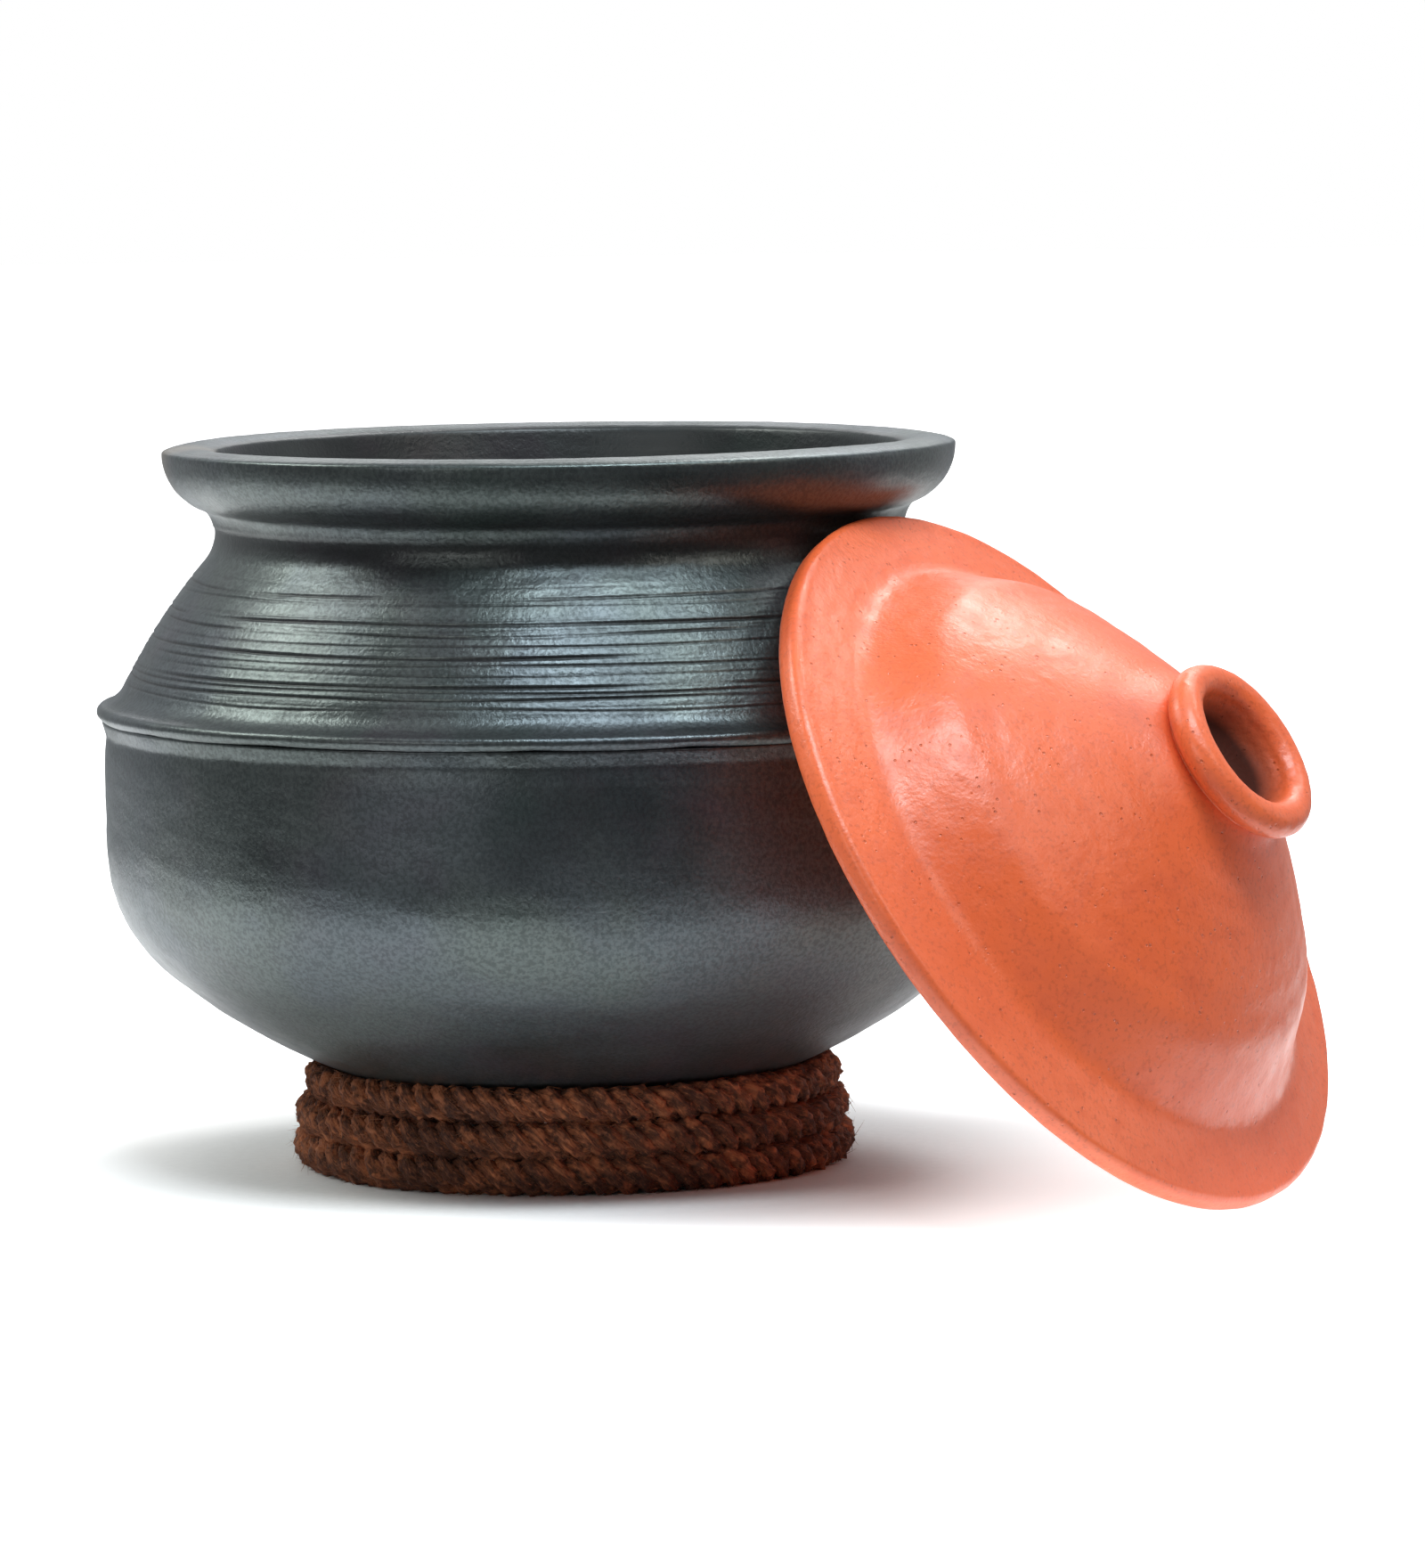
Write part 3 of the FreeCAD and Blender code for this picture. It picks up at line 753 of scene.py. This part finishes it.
def black_clay():
    """Smoke-fired clay, burnished: slate black with a graphite sheen and fire clouds, with painted shade in
    the scored lines and inside the pot.
    """
    s = Shader("black_clay")
    clouds = s.noise(11, 4, 0.55, distortion=0.4)
    tint = s.noise(26, 3, 0.6)
    base = s.mix(s.spread(clouds, 0.38, 0.62), (0.009, 0.010, 0.011), (0.020, 0.022, 0.023))
    base = s.mix(s.times(s.spread(tint, 0.5, 0.7), 0.6), base, (0.026, 0.017, 0.024))
    base = s.mix(s.times(s.spread(tint, 0.46, 0.3), 0.5), base, (0.014, 0.023, 0.020))
    streaks = s.noise(1, 5, 0.6, vector=s.scaled(14, 14, 420))
    base = s.mix(s.times(s.spread(streaks, 0.5, 0.75), 0.35), base, (0.040, 0.043, 0.044))
    flashed = TOWARDS_VIEW * 10 * MM - RIGHT_IN_VIEW * 103 * MM + Vector((0, 0, 197 * MM))
    base = s.mix(s.times(s.near(flashed, 24 * MM, 0.1), 0.6), base, (0.12, 0.075, 0.04))
    rough = s.spread(s.noise(30, 5, 0.6), 0.3, 0.7, 0.34, 0.46)
    sheen = s.mix(s.spread(s.noise(19, 3, 0.5), 0.42, 0.6), (0.84, 1.0, 0.97), (0.78, 0.92, 1.0))
    sand = s.noise(900, 2, 0.6)
    specks = s.mix(s.spread(sand, 0.36, 0.62), (0.62, 0.62, 0.62), (1.0, 1.0, 1.0))
    sheen = s.mix(1.0, sheen, specks, "MULTIPLY")
    # Painted shade: the scored lines are darkened in colour and their sheen is dimmed.
    scored = s.add("Attribute", {"attribute_name": "scored"}).outputs["Fac"]
    sheen = s.mix(s.times(scored, 0.9), sheen, (0.08, 0.08, 0.08))
    base = s.mix(s.times(scored, 0.8), base, (0.003, 0.003, 0.003))
    # Painted shade: inside the pot, below the rim, the sheen is dimmed.
    apart = s.add("SeparateXYZ", Vector=s.place)
    flat = s.add("CombineXYZ", X=apart.outputs["X"], Y=apart.outputs["Y"]).outputs["Vector"]
    reach = s.add("VectorMath", {"operation": "LENGTH"}, i0=flat).outputs["Value"]
    within_neck = s.spread(reach, 92.5 * MM, 94.5 * MM, 1.0, 0.0)
    inside = s.times(within_neck, s.spread(apart.outputs["Z"], 70 * MM, 90 * MM))
    sheen = s.mix(inside, sheen, (0.38, 0.4, 0.4))
    normal = s.bump(s.noise(700, 2, 0.55), 0.06 * MM)
    normal = s.bump(sand, 0.1 * MM, normal)
    return s.finish(Base_Color=base, Roughness=rough, Normal=normal, IOR=1.95, Specular_Tint=sheen)


def terracotta(place):
    """Red earthenware, lightly burnished, with dark grit, painted shade in the finger well and towards the
    floor, and a painted shadow below the knob.
    """
    s = Shader("terracotta")
    clouds = s.noise(14, 4, 0.55)
    fine = s.noise(120, 4, 0.6)
    base = s.mix(s.spread(clouds, 0.35, 0.65), (0.78, 0.128, 0.036), (0.86, 0.158, 0.050))
    base = s.mix(s.times(s.spread(fine, 0.45, 0.75), 0.4), base, (0.64, 0.086, 0.022))
    # Painted shade: the lid is darker towards where its brim rests on the floor.
    foot = s.near(place @ Vector((100 * MM, 0, 5 * MM)), 75 * MM, 0.3)
    base = s.mix(s.times(foot, 0.6), base, (0.58, 0.080, 0.020))
    grit = s.add("TexVoronoi", Vector=s.place, Scale=420.0)
    dark = s.times(s.spread(grit.outputs["Distance"], 0.10, 0.2, 1.0, 0.0),
                   s.spread(s.noise(140, 2, 0.5), 0.5, 0.6))
    base = s.mix(s.times(dark, 0.35), base, (0.20, 0.035, 0.012))
    sand = s.noise(800, 2, 0.6)
    base = s.mix(s.times(s.spread(sand, 0.5, 0.3), 0.3), base, (0.40, 0.060, 0.020))
    # Painted shade: the finger well is darkened in colour.
    well = s.near(place @ Vector((KNOB_OFFSET, 0, 59 * MM)), 18.5 * MM, 0.7)
    base = s.mix(well, base, (0.050, 0.012, 0.007))
    # Painted shadow: the dome is darker just below the knob, where the knob's shadow falls.
    painted_knob_shadow = s.near(place @ Vector((KNOB_OFFSET - 17 * MM, -18 * MM, 49 * MM)), 16 * MM, 0.1)
    base = s.mix(s.times(painted_knob_shadow, 0.35), base, (0.30, 0.045, 0.018))
    rough = s.plus(s.spread(fine, 0.3, 0.7, 0.35, 0.46), s.times(well, 0.4))
    normal = s.bump(s.noise(700, 2, 0.6), 0.13 * MM)
    normal = s.bump(s.times(dark, -1.0), 0.2 * MM, normal)
    normal = s.bump(s.noise(260, 3, 0.6), 0.05 * MM, normal)
    # Painted shade: the sheen is dimmed in the finger well.
    sheen = s.mix(well, (1.0, 1.0, 1.0), (0.2, 0.2, 0.2))
    return s.finish(Base_Color=base, Roughness=rough, Normal=normal, IOR=1.6, Specular_Tint=sheen)


def coir(name, dark, light):
    """Coconut fibre, coarse and dark red-brown, with paler fibres along the lay."""
    s = Shader(name)
    lay = s.add("Attribute", {"attribute_name": "lay"}).outputs["Vector"]
    along = s.noise(1, 4, 0.65, vector=s.scaled(260, 14, 1, vector=lay))
    patches = s.noise(45, 3, 0.6)
    hair = s.noise(1, 3, 0.6, vector=s.scaled(900, 60, 1, vector=lay))
    tufts = s.noise(330, 2, 0.6)
    faded = s.noise(170, 3, 0.6)

    def tone(colour, factor):
        return tuple(min(1, channel * factor) for channel in colour)

    base = s.mix(s.spread(along, 0.36, 0.66), dark, light)
    base = s.mix(s.times(s.spread(patches, 0.42, 0.62), 0.7), base, tone(dark, 0.4))
    base = s.mix(s.times(s.spread(tufts, 0.50, 0.36), 0.7), base, tone(dark, 0.3))
    base = s.mix(s.times(s.spread(faded, 0.52, 0.68), 0.5), base, tone(light, 1.3))
    base = s.mix(s.times(s.spread(hair, 0.56, 0.7), 0.5), base, tone(light, 1.8))
    normal = s.bump(along, 0.6 * MM)
    normal = s.bump(tufts, 0.9 * MM, normal)
    return s.finish(Base_Color=base, Roughness=0.85, Normal=normal)


def twine():
    """Undyed cotton twine, two-ply."""
    s = Shader("twine")
    plies = s.noise(900, 3, 0.6)
    base = s.mix(s.spread(plies, 0.4, 0.65), (0.12, 0.075, 0.04), (0.36, 0.25, 0.15))
    return s.finish(Base_Color=base, Roughness=0.9, Normal=s.bump(plies, 0.3 * MM))


# ---------------------------------------------------------------- stage


def disc(name, inner, outer, middle, material, hole=None):
    """A flat ring on the floor's level, or a disc where inner is 0. hole is the inner circle's middle."""
    hole = hole or middle
    columns = 96
    angle = np.arange(columns) / columns * TAU
    vertices = [(middle.x + outer * math.cos(a), middle.y + outer * math.sin(a), 0) for a in angle]
    if inner:
        vertices += [(hole.x + inner * math.cos(a), hole.y + inner * math.sin(a), 0) for a in angle]
        faces = [(j, (j + 1) % columns, columns + (j + 1) % columns, columns + j) for j in range(columns)]
    else:
        faces = [tuple(range(columns))]
    mesh = mesh_of(name, vertices, faces)
    mesh.materials.append(material)
    item = bpy.data.objects.new(name, mesh)
    bpy.context.scene.collection.objects.link(item)
    return item


def make_floor():
    """A pale floor that glows white all round, but not under the pot.

    Its middle disc lights what stands on it. The ring round that is seen and mirrored only, and the far
    floor is only seen.
    """
    s = Shader("floor")
    speck = s.noise(400, 2, 0.5)
    base = s.mix(s.spread(speck, 0.3, 0.7), (0.80, 0.80, 0.80), (0.83, 0.83, 0.83))
    s.surface.inputs["Emission Color"].default_value = (1, 1, 1, 1)
    reach = s.add("VectorMath", {"operation": "LENGTH"}, i0=s.place).outputs["Value"]
    under = s.spread(reach, 0.08, 0.20, 0.0, 1.05)
    glow = s.plus(under, s.spread(reach, 0.5, 2.4, 0.0, 0.3))
    material = s.finish(Base_Color=base, Roughness=0.9, Emission_Strength=glow)
    foot_radius = 0.17
    foot = Vector((0.06, 0, 0))
    table_radius = 0.46
    table = TOWARDS_VIEW * -0.2 - RIGHT_IN_VIEW * 0.05
    far_radius = 9
    disc("foot_floor", 0, foot_radius, foot, material)
    near = disc("table_top", foot_radius, table_radius, table, material, foot)
    far = disc("far_floor", table_radius, far_radius, table, material)
    near.visible_diffuse = False
    far.visible_diffuse = False
    far.visible_glossy = False


def make_world():
    """Pale to the camera; in reflections, dark on the camera's side and pale behind the pot."""
    world = bpy.data.worlds.new("studio")
    bpy.context.scene.world = world
    world.use_nodes = True
    tree = world.node_tree
    tree.nodes.clear()

    def add(kind, **settings):
        node = tree.nodes.new("ShaderNode" + kind)
        for key, value in settings.items():
            setattr(node, key, value)
        return node

    place = add("TexCoord").outputs["Generated"]
    back = add("VectorMath", operation="DOT_PRODUCT")
    tree.links.new(place, back.inputs[0])
    back.inputs[1].default_value = -TOWARDS_VIEW
    shade = add("MapRange", interpolation_type="SMOOTHSTEP")
    tree.links.new(back.outputs["Value"], shade.inputs["Value"])
    for key, value in (("From Min", -0.3), ("From Max", 0.65), ("To Min", 0.03), ("To Max", 0.5)):
        shade.inputs[key].default_value = value
    apart = add("SeparateXYZ")
    tree.links.new(place, apart.inputs[0])
    below = add("MapRange", interpolation_type="SMOOTHSTEP")
    tree.links.new(apart.outputs["Z"], below.inputs["Value"])
    for key, value in (("From Min", -0.25), ("From Max", 0.0), ("To Min", 0.8), ("To Max", 0.0)):
        below.inputs[key].default_value = value
    rays = add("LightPath")
    bounce = add("Math", operation="MULTIPLY")
    tree.links.new(below.outputs["Result"], bounce.inputs[0])
    tree.links.new(rays.outputs["Is Diffuse Ray"], bounce.inputs[1])
    total = add("Math", operation="MAXIMUM")
    tree.links.new(shade.outputs["Result"], total.inputs[0])
    tree.links.new(bounce.outputs[0], total.inputs[1])
    room = add("Background")
    room.inputs["Color"].default_value = (0.93, 0.97, 1, 1)
    tree.links.new(total.outputs[0], room.inputs["Strength"])
    paper = add("Background")
    paper.inputs["Color"].default_value = (1, 1, 1, 1)
    paper.inputs["Strength"].default_value = 1.0
    blend = add("MixShader")
    tree.links.new(rays.outputs["Is Camera Ray"], blend.inputs[0])
    tree.links.new(room.outputs[0], blend.inputs[1])
    tree.links.new(paper.outputs[0], blend.inputs[2])
    out = add("OutputWorld")
    tree.links.new(blend.outputs[0], out.inputs["Surface"])


def softbox(name, side, height, reach, width, depth, power, colour=(1, 1, 1)):
    """An area light aimed at the pot, side degrees to the right of the camera as seen from the pot."""
    data = bpy.data.lights.new(name, "AREA")
    data.shape = "RECTANGLE"
    data.size = width
    data.size_y = depth
    data.energy = power
    data.color = colour
    light = bpy.data.objects.new(name, data)
    bpy.context.scene.collection.objects.link(light)
    turn = math.radians(side)
    lift = math.radians(height)
    flat = TOWARDS_VIEW * math.cos(turn) + RIGHT_IN_VIEW * math.sin(turn)
    aim = Vector((0, 0, 0.12))
    light.location = aim + (flat * math.cos(lift) + Vector((0, 0, math.sin(lift)))) * reach
    light.rotation_euler = (light.location - aim).to_track_quat("Z", "Y").to_euler()
    light.visible_camera = False


def make_lights():
    """Soft boxes: degrees right of the camera and up, metres away, wide and deep, then watts and colour."""
    softbox("key", 19, 61, 1.3, 0.8, 0.3, 16, (0.86, 0.95, 1))
    softbox("left_fill", -100, 43, 1.4, 0.34, 0.45, 9, (0.97, 1, 0.95))
    softbox("left_low", -35, 14, 1.5, 0.5, 0.4, 2.6, (1, 0.98, 0.95))
    softbox("low_right", 100, 12, 1.6, 0.6, 0.4, 0.8, (1, 0.97, 0.93))
    softbox("face", 50, 33, 1.6, 0.5, 0.4, 3, (1, 0.88, 0.8))
    softbox("high_right", 112, 47, 1.5, 0.6, 0.3, 3)
    softbox("back", 150, 51, 1.5, 0.5, 0.35, 7.5)
    softbox("behind", 180, 27, 1.6, 0.9, 0.3, 2.5)


# ---------------------------------------------------------------- build

make_rope(coir("coir", (0.10, 0.030, 0.014), (0.46, 0.150, 0.058)),
          coir("coir_fibre", (0.12, 0.040, 0.018), (0.52, 0.20, 0.085)), twine())
clay = black_clay()
make_pot_shoulder(clay)
make_pot_bowl(clay)
lid_frame = lid_place()
fired = terracotta(lid_frame)
make_lid_dome(fired, lid_frame)
make_lid_knob(fired, lid_frame)
make_floor()
make_world()
make_lights()
